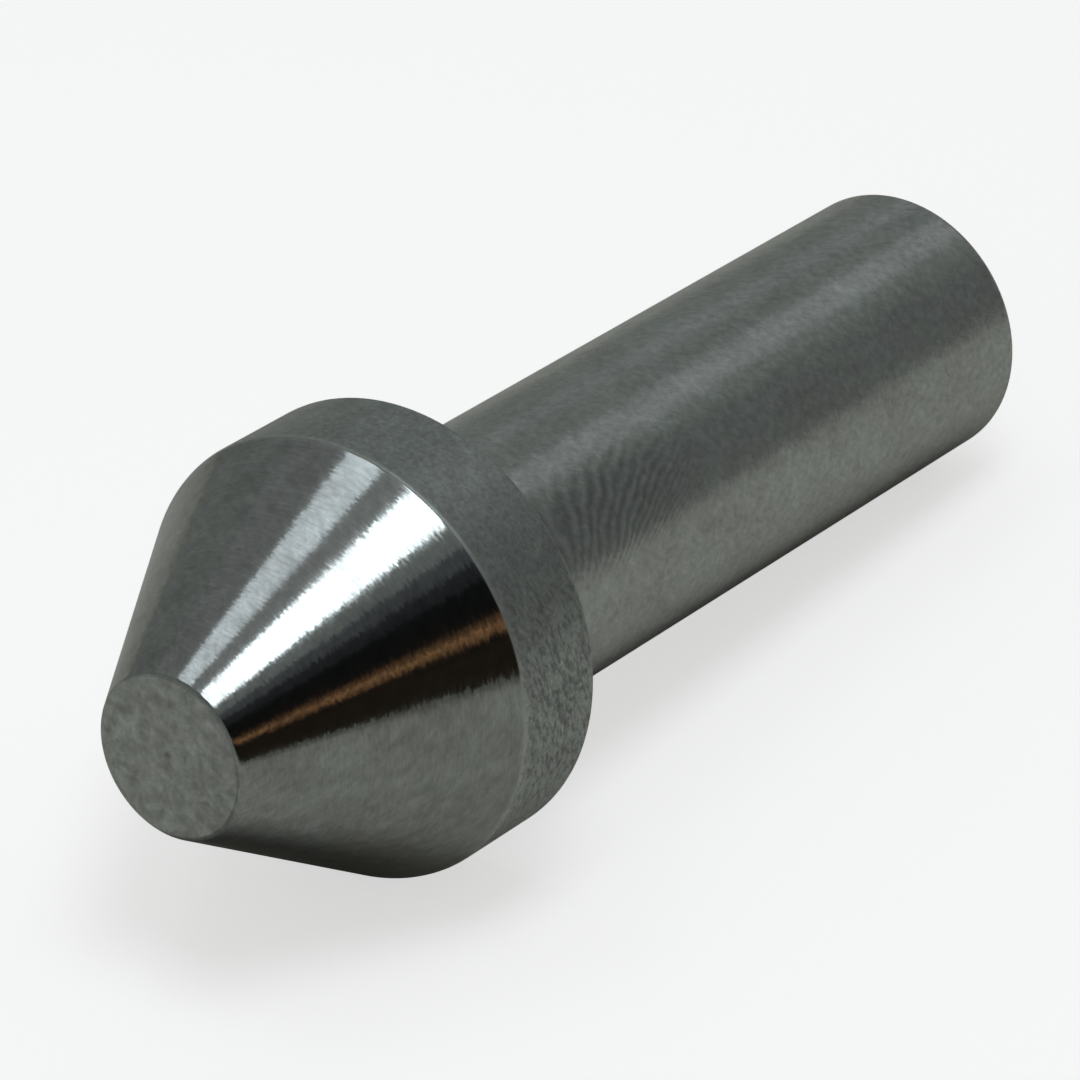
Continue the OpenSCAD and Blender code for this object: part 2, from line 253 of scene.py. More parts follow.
# %% The patch group
def build_patch():
    """A soft-edged patch: 1 at a place given along the axis and round it, fading to 0."""
    tree, given, result = new_group(
        "patch", {"Middle x mm": 0.0, "Length mm": 10.0, "Middle angle": 0.0, "Width": 0.5}, ["Mask"])
    place = add_node(tree, "ShaderNodeTexCoord").outputs["Object"]
    x, y, z = add_node(tree, "ShaderNodeSeparateXYZ", {0: place}).outputs
    x_mm = add_math(tree, "DIVIDE", x, MM)
    angle = add_math(tree, "ARCTAN2", y, z)
    off_x = add_math(tree, "SUBTRACT", x_mm, given.outputs["Middle x mm"])
    off_x = add_math(tree, "DIVIDE", off_x, given.outputs["Length mm"])
    off_a = add_math(tree, "SUBTRACT", angle, given.outputs["Middle angle"])
    off_a = add_math(tree, "DIVIDE", off_a, given.outputs["Width"])
    far = add_math(tree, "MULTIPLY_ADD", off_a, off_a, add_math(tree, "MULTIPLY", off_x, off_x))
    fall = add_math(tree, "MULTIPLY", add_math(tree, "MULTIPLY", far, far), -1.0)
    tree.links.new(add_math(tree, "EXPONENT", fall), result.inputs["Mask"])
    return tree


patch = build_patch()
print("group:", patch.name)

# %% [markdown]
# ## Chatter
#
# Close to the head the grinding wheel shook and left ripples on the shank. They aren't plain rings but a
# fan, close together low on the near side and wider apart towards the top. So the distance from the
# fan's start is divided by a spread that grows with the angle, and some noise lets the lines wander.

# %% The chatter group
CHATTER_WANDER = 2.4
CHATTER_WANDER_PER_MM = 0.3


def build_chatter():
    """Ripples that fan out from one place, where the grinding wheel shook."""
    tree, given, result = new_group(
        "chatter", {"Pitch mm": 1.25, "Fan x mm": 3.8, "Spread": 1.5, "Middle angle": -0.87}, ["Mask"])
    place = add_node(tree, "ShaderNodeTexCoord").outputs["Object"]
    x, y, z = add_node(tree, "ShaderNodeSeparateXYZ", {0: place}).outputs
    x_mm = add_math(tree, "DIVIDE", x, MM)
    angle = add_math(tree, "SUBTRACT", add_math(tree, "ARCTAN2", y, z), given.outputs["Middle angle"])
    wander = add_node(tree, "ShaderNodeTexNoise",
                      {"Vector": place, "Scale": CHATTER_WANDER_PER_MM / MM, "Detail": 3.0})
    spread = add_math(tree, "EXPONENT", add_math(tree, "MULTIPLY", angle, given.outputs["Spread"]))
    off = add_math(tree, "SUBTRACT", x_mm, given.outputs["Fan x mm"])
    lines = add_math(tree, "DIVIDE", add_math(tree, "DIVIDE", off, spread), given.outputs["Pitch mm"])
    lines = add_math(tree, "MULTIPLY_ADD", wander.outputs["Fac"], CHATTER_WANDER, lines)
    wave = add_math(tree, "SINE", add_math(tree, "MULTIPLY", lines, math.tau))
    tree.links.new(add_math(tree, "MULTIPLY_ADD", wave, 0.5, 0.5), result.inputs["Mask"])
    return tree


chatter = build_chatter()
print("group:", chatter.name)

# %% [markdown]
# ## A metal finish
#
# All the metals share one recipe. The base colour sways between two greys with the clouding, and the
# grain, hatching, turned marks, pits and chatter each darken it a little towards a near black. For the
# chatter that darkening is partly a painted reflection. The roughness sways with the same masks, and
# their heights tilt the surface through a Bump node. The fray, where a finish has one, goes in under
# the bump. Lines that run round the axis scatter light along the outline, so the anisotropic highlight
# is turned a quarter from the tangent that runs round X.

# %% Make a metal material
UM = 1e-6
# The near black that grain, hatching, marks, pits and chatter darken the colour towards.
DARKENED_TONE = (0.02, 0.02, 0.018)
# A thin lighter line along a rim: a painted highlight, together with wear that rubbed the edge bright.
RUB_AND_HIGHLIGHT_WIDTH = 0.2 * MM
RUB_AND_HIGHLIGHT_AMOUNT = 0.4
RUB_AND_HIGHLIGHT_COLOUR = (0.8, 0.83, 0.8)
PIT_ROUGHNESS = 0.2
GRAIN_CONTRAST = 2.4
QUARTER_TURN = 0.25


def place_group(tree, group, **values):
    """Put a shader group into a material with its own values. Underscores in names stand for spaces."""
    node = add_node(tree, "ShaderNodeGroup", node_tree=group)
    for name, value in values.items():
        node.inputs[name.replace("_", " ")].default_value = value
    return node.outputs[0]


def blend_colour(tree, mask, first, second):
    """The first colour where the mask is 0 and the second where it is 1."""
    mix = add_node(tree, "ShaderNodeMix", data_type="RGBA")
    factor, a, b = mix.inputs[0], mix.inputs[6], mix.inputs[7]
    tree.links.new(mask, factor)
    for socket, colour in ((a, first), (b, second)):
        if isinstance(colour, bpy.types.NodeSocket):
            tree.links.new(colour, socket)
        else:
            socket.default_value = (*colour, 1.0)
    return mix.outputs[2]


def edge_rub_and_highlight(tree, edge_x):
    """A mask that is 1 close to a place along the axis, for a painted highlight on an edge that is also
    rubbed bright.
    """
    place = add_node(tree, "ShaderNodeTexCoord").outputs["Object"]
    x = add_node(tree, "ShaderNodeSeparateXYZ", {0: place}).outputs[0]
    off = add_math(tree, "DIVIDE", add_math(tree, "SUBTRACT", x, edge_x), RUB_AND_HIGHLIGHT_WIDTH)
    fall = add_math(tree, "MULTIPLY", add_math(tree, "MULTIPLY", off, off), -1.0)
    return add_math(tree, "EXPONENT", fall)


def metal(name, light, dark, rough, cloud_rough=0.05, cloud_mm=3.0, contrast=2.0,
          along=6.0, around=3.0, mark_um=0.3, mark_rough=0.0, mark_shade=0.0, streak=0.0,
          hatch_along=1.0, hatch_around=40.0, slant=0.05, hatch_um=0.0, hatch_shade=0.0,
          grain_mm=0.4, grain_um=0.0, grain_shade=0.0, tilt=0.0, tilt_along=4.0, tilt_around=9.0,
          pit_share=0.3, pit_um=0.0, pit_dark=0.5, pit_patch=None,
          chatter_patch=None, chatter_um=0.0, chatter_reflection_and_tone=0.0, rub_and_highlight_x=None, seed=0.0):
    """Bare or oxidised metal. Heights are in micrometres and patch sizes in millimetres."""
    material = bpy.data.materials.new(name)
    material.use_nodes = True
    tree = material.node_tree
    tree.nodes.clear()

    def shaded(colour, mask, amount):
        """The colour, darkened by amount where the mask is 1."""
        return blend_colour(tree, add_math(tree, "MULTIPLY", mask, amount), colour, DARKENED_TONE)

    marks = place_group(tree, tool_marks, Along_per_mm=along, Around=around, Seed=seed)
    hatch = place_group(tree, tool_marks, Along_per_mm=hatch_along, Around=hatch_around,
                        Slant_per_mm=slant, Seed=seed + 1.0)
    cloud = place_group(tree, clouding, Size_mm=cloud_mm, Contrast=contrast, Seed=seed + 3.0)
    grain = place_group(tree, clouding, Size_mm=grain_mm, Contrast=GRAIN_CONTRAST, Seed=seed + 5.0)
    shade = blend_colour(tree, cloud, dark, light)
    shade = shaded(shade, grain, grain_shade)
    shade = shaded(shade, hatch, hatch_shade)
    shade = shaded(shade, marks, mark_shade)
    swing = add_math(tree, "MULTIPLY_ADD", cloud, -cloud_rough, rough + cloud_rough / 2)
    swing = add_math(tree, "MULTIPLY_ADD", add_math(tree, "SUBTRACT", marks, 0.5), mark_rough, swing)
    height = add_math(tree, "MULTIPLY", marks, mark_um)
    height = add_math(tree, "MULTIPLY_ADD", hatch, hatch_um, height)
    height = add_math(tree, "MULTIPLY_ADD", grain, grain_um, height)
    if pit_um:
        pit = place_group(tree, pits, Share=pit_share, Seed=seed + 7.0)
        if pit_patch:
            pit = add_math(tree, "MULTIPLY", pit, place_group(tree, patch, **pit_patch))
        shade = shaded(shade, pit, pit_dark)
        swing = add_math(tree, "MULTIPLY_ADD", pit, PIT_ROUGHNESS, swing)
        height = add_math(tree, "MULTIPLY_ADD", pit, -pit_um, height)
    # The ripples also darken the colour: partly a painted reflection, since the plain wall beside the shank
    # gives the bump little to show, and partly the steel's own tone.
    if chatter_patch:
        where = place_group(tree, patch, **chatter_patch)
        ripple = add_math(tree, "MULTIPLY", place_group(tree, chatter), where)
        shade = shaded(shade, ripple, chatter_reflection_and_tone)
        height = add_math(tree, "MULTIPLY_ADD", ripple, -chatter_um, height)
    # The rim is lightened in a thin line: a painted highlight, together with wear that rubbed it bright.
    if rub_and_highlight_x is not None:
        rub_and_highlight = add_math(tree, "MULTIPLY", edge_rub_and_highlight(tree, rub_and_highlight_x), RUB_AND_HIGHLIGHT_AMOUNT)
        shade = blend_colour(tree, rub_and_highlight, shade, RUB_AND_HIGHLIGHT_COLOUR)
    bump = add_node(tree, "ShaderNodeBump", {"Height": height, "Distance": UM})
    if tilt:
        frayed = place_group(tree, fray, Along_per_mm=tilt_along, Around=tilt_around, Tilt=tilt,
                             Seed=seed + 9.0)
        tree.links.new(frayed, bump.inputs["Normal"])
    shader = add_node(tree, "ShaderNodeBsdfPrincipled",
                      {"Base Color": shade, "Metallic": 1.0, "Roughness": swing, "Normal": bump.outputs[0],
                       "Anisotropic": streak, "Anisotropic Rotation": QUARTER_TURN})
    if streak:
        round_x = add_node(tree, "ShaderNodeTangent", direction_type="RADIAL", axis="X")
        tree.links.new(round_x.outputs[0], shader.inputs["Tangent"])
    output = add_node(tree, "ShaderNodeOutputMaterial")
    tree.links.new(shader.outputs[0], output.inputs[0])
    return material


# %% [markdown]
# ## The finishes
#
# The cone is the working face, so it is the brightest: fine turned and polished, with frayed
# reflections and the faint hatching of a cloth. The nose is faced and mottled. The band behind the cone
# was left from a worn tool and is dull, with pits torn in its near, lower side. The shank is ground,
# which gives a satin with fine hatching that still shows soft streaks, and a patch of chatter close to
# the head. The tail is faced. Inside, bearing rings are ground bright, balls are lapped, sheet pieces
# are satin, and the nut is black oxide. Angles are measured from the top, so the near side is negative.

# %% Define the finishes
STEEL_LIGHT = (0.87, 0.925, 0.885)
STEEL_DARK = (0.74, 0.745, 0.715)
DULL_LIGHT = (0.67, 0.72, 0.69)
DULL_DARK = (0.54, 0.55, 0.53)
NUT_GREY = (0.13, 0.13, 0.14)
NUT_BLACK = (0.06, 0.06, 0.07)
PITTED_SIDE = -1.55
CHATTER_SIDE = -0.84

cone_steel = metal("cone_turned_steel", STEEL_LIGHT, STEEL_DARK, rough=0.13, cloud_rough=0.05,
                   cloud_mm=4.0, contrast=3.0, along=3.5, around=11.0, mark_um=1.5, mark_rough=0.2,
                   mark_shade=0.5, streak=0.5, hatch_along=0.5, hatch_around=15.0, slant=-0.06,
                   hatch_shade=0.46, grain_mm=1.0, grain_um=0.3, grain_shade=0.26,
                   tilt=0.08, tilt_along=4.0, tilt_around=18.0, rub_and_highlight_x=cone_back_x)
nose_steel = metal("nose_faced_steel", STEEL_LIGHT, STEEL_DARK, rough=0.34, cloud_mm=1.6, contrast=3.0,
                   along=4.0, around=4.0, mark_um=5.0, mark_rough=0.1, hatch_along=2.0, hatch_around=6.0,
                   hatch_shade=0.4, grain_mm=0.8, grain_um=4.0, grain_shade=0.52, seed=11.0)
band_steel = metal("band_dull_steel", DULL_LIGHT, DULL_DARK, rough=0.36, cloud_mm=2.0, contrast=2.6,
                   along=4.0, around=20.0, mark_um=4.0, mark_rough=0.1, grain_mm=0.35, grain_um=6.0,
                   grain_shade=0.45, pit_share=0.5, pit_um=8.0, pit_dark=0.33,
                   pit_patch={"Middle_x_mm": -3.0, "Length_mm": 9.0, "Middle_angle": PITTED_SIDE,
                              "Width": 0.75},
                   rub_and_highlight_x=cone_back_x, seed=23.0)
shank_steel = metal("shank_ground_steel", STEEL_LIGHT, STEEL_DARK, rough=0.24, cloud_rough=0.08,
                    cloud_mm=4.0, contrast=2.6, along=4.0, around=14.0, mark_um=2.5, mark_rough=0.1,
                    hatch_along=1.2, hatch_around=34.0, slant=0.07, hatch_um=4.0, hatch_shade=0.36,
                    grain_mm=0.6, grain_um=3.0, grain_shade=0.36,
                    tilt=0.1, tilt_along=4.5, tilt_around=14.0,
                    pit_share=0.05, pit_um=1.5, pit_dark=0.3, streak=0.3,
                    chatter_patch={"Middle_x_mm": 10.5, "Length_mm": 8.5, "Middle_angle": CHATTER_SIDE,
                                   "Width": 0.4},
                    chatter_um=5.0, chatter_reflection_and_tone=0.3, seed=37.0)
tail_steel = metal("tail_faced_steel", STEEL_LIGHT, STEEL_DARK, rough=0.3, cloud_mm=3.0, contrast=2.6,
                   along=3.0, around=2.0, mark_um=5.0, mark_rough=0.12, mark_shade=0.5, grain_mm=0.5,
                   grain_um=2.0, grain_shade=0.25, seed=31.0)
inside_steel = metal("inside_turned_steel", (0.5, 0.5, 0.49), (0.42, 0.42, 0.41), rough=0.35,
                     mark_um=1.2, seed=41.0)
ring_steel = metal("bearing_ring_steel", (0.62, 0.62, 0.61), (0.55, 0.55, 0.55), rough=0.16, along=9.0,
                   mark_um=0.3, streak=0.4, seed=47.0)
ball_steel = metal("lapped_ball_steel", (0.68, 0.68, 0.68), (0.64, 0.64, 0.64), rough=0.06, along=9.0,
                   mark_um=0.02, cloud_mm=1.0, seed=53.0)
sheet_steel = metal("pressed_sheet_steel", (0.55, 0.55, 0.53), (0.47, 0.47, 0.46), rough=0.3, cloud_mm=1.5,
                    along=3.0, mark_um=0.6, grain_mm=0.2, grain_um=1.0, seed=59.0)
spring_steel = metal("spring_strip_steel", (0.36, 0.36, 0.4), (0.27, 0.25, 0.26), rough=0.26, cloud_mm=2.0,
                     along=8.0, mark_um=0.4, seed=61.0)
black_steel = metal("black_oxide_steel", NUT_GREY, NUT_BLACK, rough=0.42, cloud_mm=1.2, along=5.0,
                    mark_um=1.2, pit_share=0.2, pit_um=2.0, seed=67.0)
cage_brass = metal("machined_brass", (0.78, 0.6, 0.3), (0.66, 0.48, 0.22), rough=0.28, cloud_mm=1.5,
                   along=6.0, mark_um=0.8, streak=0.3, seed=71.0)


def seal_rubber():
    """Moulded nitrile: near black, with a bloom that greys it in patches."""
    material = bpy.data.materials.new("seal_nitrile_rubber")
    material.use_nodes = True
    tree = material.node_tree
    shader = tree.nodes["Principled BSDF"]
    bloom = place_group(tree, clouding, Size_mm=0.8, Contrast=2.0, Seed=79.0)
    tree.links.new(blend_colour(tree, bloom, (0.012, 0.012, 0.013), (0.035, 0.035, 0.036)),
                   shader.inputs["Base Color"])
    tree.links.new(add_math(tree, "MULTIPLY_ADD", bloom, 0.15, 0.5), shader.inputs["Roughness"])
    grain = place_group(tree, clouding, Size_mm=0.15, Contrast=GRAIN_CONTRAST, Seed=83.0)
    bump = add_node(tree, "ShaderNodeBump", {"Height": grain, "Distance": 2 * UM})
    tree.links.new(bump.outputs[0], shader.inputs["Normal"])
    return material


rubber = seal_rubber()
print("finishes:", len(bpy.data.materials))

# %% [markdown]
# ## The outlines
#
# The head and the spindle are solids of revolution, so each is fully described by its outline: pairs of
# place along the axis and radius, as on a turner's drawing. The bores of the head and the steps of the
# spindle take their places from the pieces that seat on them, so nothing needs fitting.

# %% Outlines of the head and the spindle
EDGE_BREAK = 0.15 * MM
REAR_BREAK = 0.3 * MM
PIP_R = 0.45 * MM
PIP_DEPTH = 0.12 * MM
STEP_GAP = 0.3 * MM
RELIEF = 0.15 * MM
RELIEF_W = 0.5 * MM
TAIL_CHAMFER = 1 * MM


def ends(node):
    """Where a node starts and ends along the axis, and its outer radius."""
    low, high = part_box(node)
    return low.x, high.x, high.z


nut_front, _, nut_r = ends("cover_nut")
main_front, main_back, main_r = ends("main_outer_ring")
seat_front, _, thrust_r = ends("thrust_housing_washer")
shaft_front, shoulder_x, _ = ends("thrust_shaft_washer")
front_front, front_back, front_r = ends("front_outer_ring")
ring_front, _, _ = ends("retaining_ring")
pilot_x = spindle_low.x

slope_x = EDGE_BREAK * math.cos(CONE_HALF_ANGLE)
slope_r = EDGE_BREAK * math.sin(CONE_HALF_ANGLE)
PILOT_BORE_R = 3.75 * MM

head_outline = [
    (nose_x + PIP_DEPTH, 0.0),
    (nose_x, PIP_R),
    (nose_x, NOSE_R - EDGE_BREAK),
    (nose_x + slope_x, NOSE_R + slope_r),
    (cone_back_x - slope_x, head_r - slope_r),
    (cone_back_x + EDGE_BREAK, head_r),
    (head_back_x - REAR_BREAK, head_r),
    (head_back_x, head_r - REAR_BREAK),
    (head_back_x, nut_r + STEP_GAP),
    (head_back_x - STEP_GAP, nut_r),
    (nut_front - STEP_GAP, nut_r),
    (nut_front - STEP_GAP, main_r),
    (shoulder_x + STEP_GAP, main_r),
    (shoulder_x + STEP_GAP, thrust_r),
    (seat_front, thrust_r),
    (seat_front, front_r),
    (front_front, front_r),
    (front_front, PILOT_BORE_R),
    (pilot_x - STEP_GAP, PILOT_BORE_R),
    (pilot_x - STEP_GAP, 0.0),
]

SEAL_LAND_R = 8.925 * MM
ABUTMENT_R = 6.891 * MM
MAIN_BORE_R = 6 * MM
GROOVE_R = 5.75 * MM
THRUST_BORE_R = 4 * MM
NECK_R = 2.886 * MM
FRONT_BORE_R = 2.5 * MM
LAND_END = 0.5 * MM
CLIP_SIDE = 0.1 * MM
CENTER_HOLE_R = 2.5 * MM
CENTER_HALF_ANGLE = math.radians(30)
DRILL_R = 1 * MM
DRILL_L = 3 * MM
DRILL_POINT_HALF_ANGLE = math.radians(59)
land_x = nut_front + LAND_END
hole_cone_x = tail_x - (CENTER_HOLE_R - DRILL_R) / math.tan(CENTER_HALF_ANGLE)
drill_x = hole_cone_x - DRILL_L

spindle_outline = [
    (pilot_x, 0.0),
    (pilot_x, FRONT_BORE_R - STEP_GAP),
    (pilot_x + STEP_GAP, FRONT_BORE_R),
    (front_back + STEP_GAP, FRONT_BORE_R),
    (front_back + STEP_GAP, NECK_R),
    (shaft_front - STEP_GAP, NECK_R),
    (shaft_front - STEP_GAP, THRUST_BORE_R),
    (shoulder_x - RELIEF_W, THRUST_BORE_R),
    (shoulder_x - RELIEF_W, THRUST_BORE_R - RELIEF),
    (shoulder_x, THRUST_BORE_R - RELIEF),
    (shoulder_x, MAIN_BORE_R),
    (ring_front - CLIP_SIDE, MAIN_BORE_R),
    (ring_front - CLIP_SIDE, GROOVE_R),
    (main_front, GROOVE_R),
    (main_front, MAIN_BORE_R),
    (main_back - RELIEF_W, MAIN_BORE_R),
    (main_back - RELIEF_W, MAIN_BORE_R - RELIEF),
    (main_back, MAIN_BORE_R - RELIEF),
    (main_back, ABUTMENT_R),
    (land_x, ABUTMENT_R),
    (land_x, SEAL_LAND_R),
    (0.0, SEAL_LAND_R),
    (0.0, shank_r),
    (tail_x - TAIL_CHAMFER, shank_r),
    (tail_x, shank_r - TAIL_CHAMFER),
    (tail_x, CENTER_HOLE_R),
    (hole_cone_x, DRILL_R),
    (drill_x, DRILL_R),
    (drill_x - DRILL_R / math.tan(DRILL_POINT_HALF_ANGLE), 0.0),
]
print("outlines:", len(head_outline), "and", len(spindle_outline), "corners")

# %% [markdown]
# ## Ease the corners
#
# No real edge is perfectly sharp. A stone or a handling knock leaves a tiny round that catches the
# light, and that thin bright line is much of what makes steel look like steel. Each outward corner
# gets an arc that takes at most part of the sides beside it. A holding point beside each arc keeps the
# smooth shading of the arc from bending the reflection in the long straight sides.

# %% Round an outline's outward corners
EASE_R = 0.5 * MM
ARC_STEPS = 4
SIDE_SHARE = 0.42
HOLD = 0.06 * MM
LEAST_TURN = math.radians(4)


def eased(corners):
    """The outline with an arc at each outward corner and holding points on the long sides."""
    points = [Vector(corners[0])]
    for before, corner, after in zip(corners, corners[1:], corners[2:]):
        before, corner, after = Vector(before), Vector(corner), Vector(after)
        way_in, way_out = corner - before, after - corner
        turn = way_in.angle_signed(way_out)
        if turn <= LEAST_TURN:
            points.append(corner)
            continue
        reach = min(EASE_R * math.tan(turn / 2), SIDE_SHARE * min(way_in.length, way_out.length))
        start = corner - way_in.normalized() * reach
        end = corner + way_out.normalized() * reach
        for step in range(ARC_STEPS + 1):
            t = step / ARC_STEPS
            points.append(start.lerp(corner, t).lerp(corner.lerp(end, t), t))
    points.append(Vector(corners[-1]))
    held = [points[0]]
    for a, b in zip(points, points[1:]):
        side = b - a
        if side.length > 4 * HOLD:
            held += [a + side.normalized() * HOLD, b - side.normalized() * HOLD]
        held.append(b)
    return held


head_points = eased(head_outline)
spindle_points = eased(spindle_outline)
print("eased outlines:", len(head_points), "and", len(spindle_points), "points")

# %% [markdown]
# ## Turn an outline
#
# A spin tool would do, but the rule is simple enough for Geometry Nodes, where the number of facets
# stays an open setting. The tree makes a flat grid with one row for each point of the outline and one
# column for each facet. It then moves every grid point: the row picks a point of the outline, and the
# column gives the angle round the axis. Merging by distance closes the seam and the poles, and edges
# that bend by more than a few degrees stay sharp.

# %% The turning tree
def geometry_tree(name, sockets):
    """An empty geometry tree with its named inputs. Each socket is (name, type, default)."""
    tree = bpy.data.node_groups.new(name, "GeometryNodeTree")
    tree.interface.new_socket("Geometry", in_out="INPUT", socket_type="NodeSocketGeometry")
    tree.interface.new_socket("Geometry", in_out="OUTPUT", socket_type="NodeSocketGeometry")
    for socket, kind, value in sockets:
        made = tree.interface.new_socket(socket, in_out="INPUT", socket_type=kind)
        if value is not None:
            made.default_value = value
    return tree, tree.nodes.new("NodeGroupInput").outputs, tree.nodes.new("NodeGroupOutput").inputs


def build_turning():
    """Wind a grid round the X axis so that its rows follow the outline."""
    tree, given, result = geometry_tree("turn on a lathe", [
        ("Points", "NodeSocketInt", 2), ("Facets", "NodeSocketInt", 96),
        ("Sharp Angle", "NodeSocketFloat", math.radians(25)), ("Material", "NodeSocketMaterial", None)])
    columns = add_math(tree, "ADD", given["Facets"], 1)
    grid = add_node(tree, "GeometryNodeMeshGrid", {"Vertices X": given["Points"], "Vertices Y": columns})
    index = add_node(tree, "GeometryNodeInputIndex").outputs[0]
    row = add_math(tree, "FLOOR", add_math(tree, "DIVIDE", index, columns))
    column = add_math(tree, "SUBTRACT", index, add_math(tree, "MULTIPLY", row, columns))
    place = add_node(tree, "GeometryNodeInputPosition").outputs[0]
    sample = add_node(tree, "GeometryNodeSampleIndex", data_type="FLOAT_VECTOR", domain="POINT")
    tree.links.new(given["Geometry"], sample.inputs["Geometry"])
    tree.links.new(place, sample.inputs["Value"])
    tree.links.new(row, sample.inputs["Index"])
    x, _, radius = add_node(tree, "ShaderNodeSeparateXYZ", {0: sample.outputs[0]}).outputs
    angle = add_math(tree, "MULTIPLY", add_math(tree, "DIVIDE", column, given["Facets"]), math.tau)
    y = add_math(tree, "MULTIPLY", radius, add_math(tree, "SINE", angle))
    z = add_math(tree, "MULTIPLY", radius, add_math(tree, "COSINE", angle))
    wound = add_node(tree, "GeometryNodeSetPosition", {
        "Geometry": grid.outputs["Mesh"],
        "Position": add_node(tree, "ShaderNodeCombineXYZ", {0: x, 1: y, 2: z}).outputs[0]})
    merged = add_node(tree, "GeometryNodeMergeByDistance", {"Geometry": wound.outputs[0], "Distance": 1e-7})
    bend = add_node(tree, "GeometryNodeInputMeshEdgeAngle").outputs[0]
    sharp = add_node(tree, "FunctionNodeCompare", {0: bend, 1: given["Sharp Angle"]},
                     data_type="FLOAT", operation="GREATER_THAN").outputs[0]
    smooth = add_node(tree, "GeometryNodeSetShadeSmooth", {"Geometry": merged.outputs[0],
                                                           "Shade Smooth": True}, domain="FACE")
    crisp = add_node(tree, "GeometryNodeSetShadeSmooth", {"Geometry": smooth.outputs[0], "Selection": sharp,
                                                          "Shade Smooth": False}, domain="EDGE")
    real = add_node(tree, "GeometryNodeRealizeInstances", {0: crisp.outputs[0]})
    dressed = add_node(tree, "GeometryNodeSetMaterial", {"Geometry": real.outputs[0],
                                                         "Material": given["Material"]})
    tree.links.new(dressed.outputs[0], result[0])
    return tree


def grow(name, mesh, tree, values):
    """Run a geometry tree over a mesh with the given inputs, and return the result as a plain object."""
    seed = bpy.data.objects.new(name + ".start", mesh)
    bpy.context.scene.collection.objects.link(seed)
    modifier = seed.modifiers.new("grow", "NODES")
    modifier.node_group = tree
    sockets = {item.name: item.identifier for item in tree.interface.items_tree
               if item.item_type == "SOCKET" and item.in_out == "INPUT"}
    for key, value in values.items():
        modifier[sockets[key]] = value
    bpy.context.view_layer.update()
    plain = bpy.data.meshes.new_from_object(seed.evaluated_get(bpy.context.evaluated_depsgraph_get()))
    plain.name = name
    plain.materials.clear()
    plain.materials.append(values["Material"])
    piece = bpy.data.objects.new(name, plain)
    bpy.context.scene.collection.objects.link(piece)
    bpy.data.objects.remove(seed)
    return piece


def volume(mesh):
    """Signed volume of a closed mesh: negative when its faces point inwards."""
    mesh.calc_loop_triangles()
    total = 0.0
    for triangle in mesh.loop_triangles:
        a, b, c = (mesh.vertices[i].co for i in triangle.vertices)
        total += a.dot(b.cross(c)) / 6
    return total


FACETS = 288
turning = build_turning()


def turned(name, points, material):
    """A solid of revolution from an outline whose first and last points lie on the axis."""
    start = bpy.data.meshes.new(name + ".outline")
    start.from_pydata([(x, 0.0, r) for x, r in points], [(i, i + 1) for i in range(len(points) - 1)], [])
    piece = grow(name, start, turning, {"Points": len(points), "Facets": FACETS, "Material": material})
    if volume(piece.data) < 0:
        piece.data.flip_normals()
    print(name, len(piece.data.polygons), "faces,", round(volume(piece.data) / MM**3), "mm3")
    return piece


# %% [markdown]
# ## The head
#
# One piece of steel carries four finishes: the faced nose, the polished cone, the dull band and the
# bored inside. Each face of the mesh takes its finish from where it sits on the outline.

# %% Turn the head
def paint(piece, materials, choose):
    """Give each face one of the materials, by the x and radius of its centre."""
    for material in materials[1:]:
        piece.data.materials.append(material)
    for face in piece.data.polygons:
        x, r = face.center.x, math.hypot(face.center.y, face.center.z)
        face.material_index = choose(x, r)


def head_finish(x, r):
    """0 cone, 1 nose, 2 band and back face, 3 bores."""
    cone_r = NOSE_R + (x - nose_x) * math.tan(CONE_HALF_ANGLE)
    if x < nose_x + PIP_DEPTH and r < NOSE_R:
        return 1
    if x < cone_back_x and abs(r - cone_r) < EDGE_BREAK:
        return 0
    if r > nut_r + STEP_GAP / 2:
        return 2
    return 3


head = turned("turned_head", head_points, cone_steel)
paint(head, [cone_steel, nose_steel, band_steel, inside_steel], head_finish)
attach(head, "head")
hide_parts("cone_head")

# %% [markdown]
# ## The spindle
#
# The shank is ground along its whole length. Ahead of it the seal land and the journals take the
# turned finish of the inside of the head, and the tail end is only faced and center drilled.

# %% Turn the spindle
def spindle_finish(x, r):
    """0 ground shank, 1 faced tail, 2 journals inside the head."""
    if x > tail_x - TAIL_CHAMFER / 4 or (x > TAIL_CHAMFER and r < CENTER_HOLE_R):
        return 1
    return 0 if x > -EDGE_BREAK else 2


spindle = turned("turned_spindle", spindle_points, shank_steel)
paint(spindle, [shank_steel, tail_steel, inside_steel], spindle_finish)
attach(spindle, "fixed_spindle")
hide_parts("spindle")

# %% [markdown]
# ## The balls
#
# The balls of a bearing are one shape repeated round a circle, which is what instancing is for. The
# tree makes a circle of points, sets a finely divided ball on each, and realizes them, because the
# export keeps only real faces.

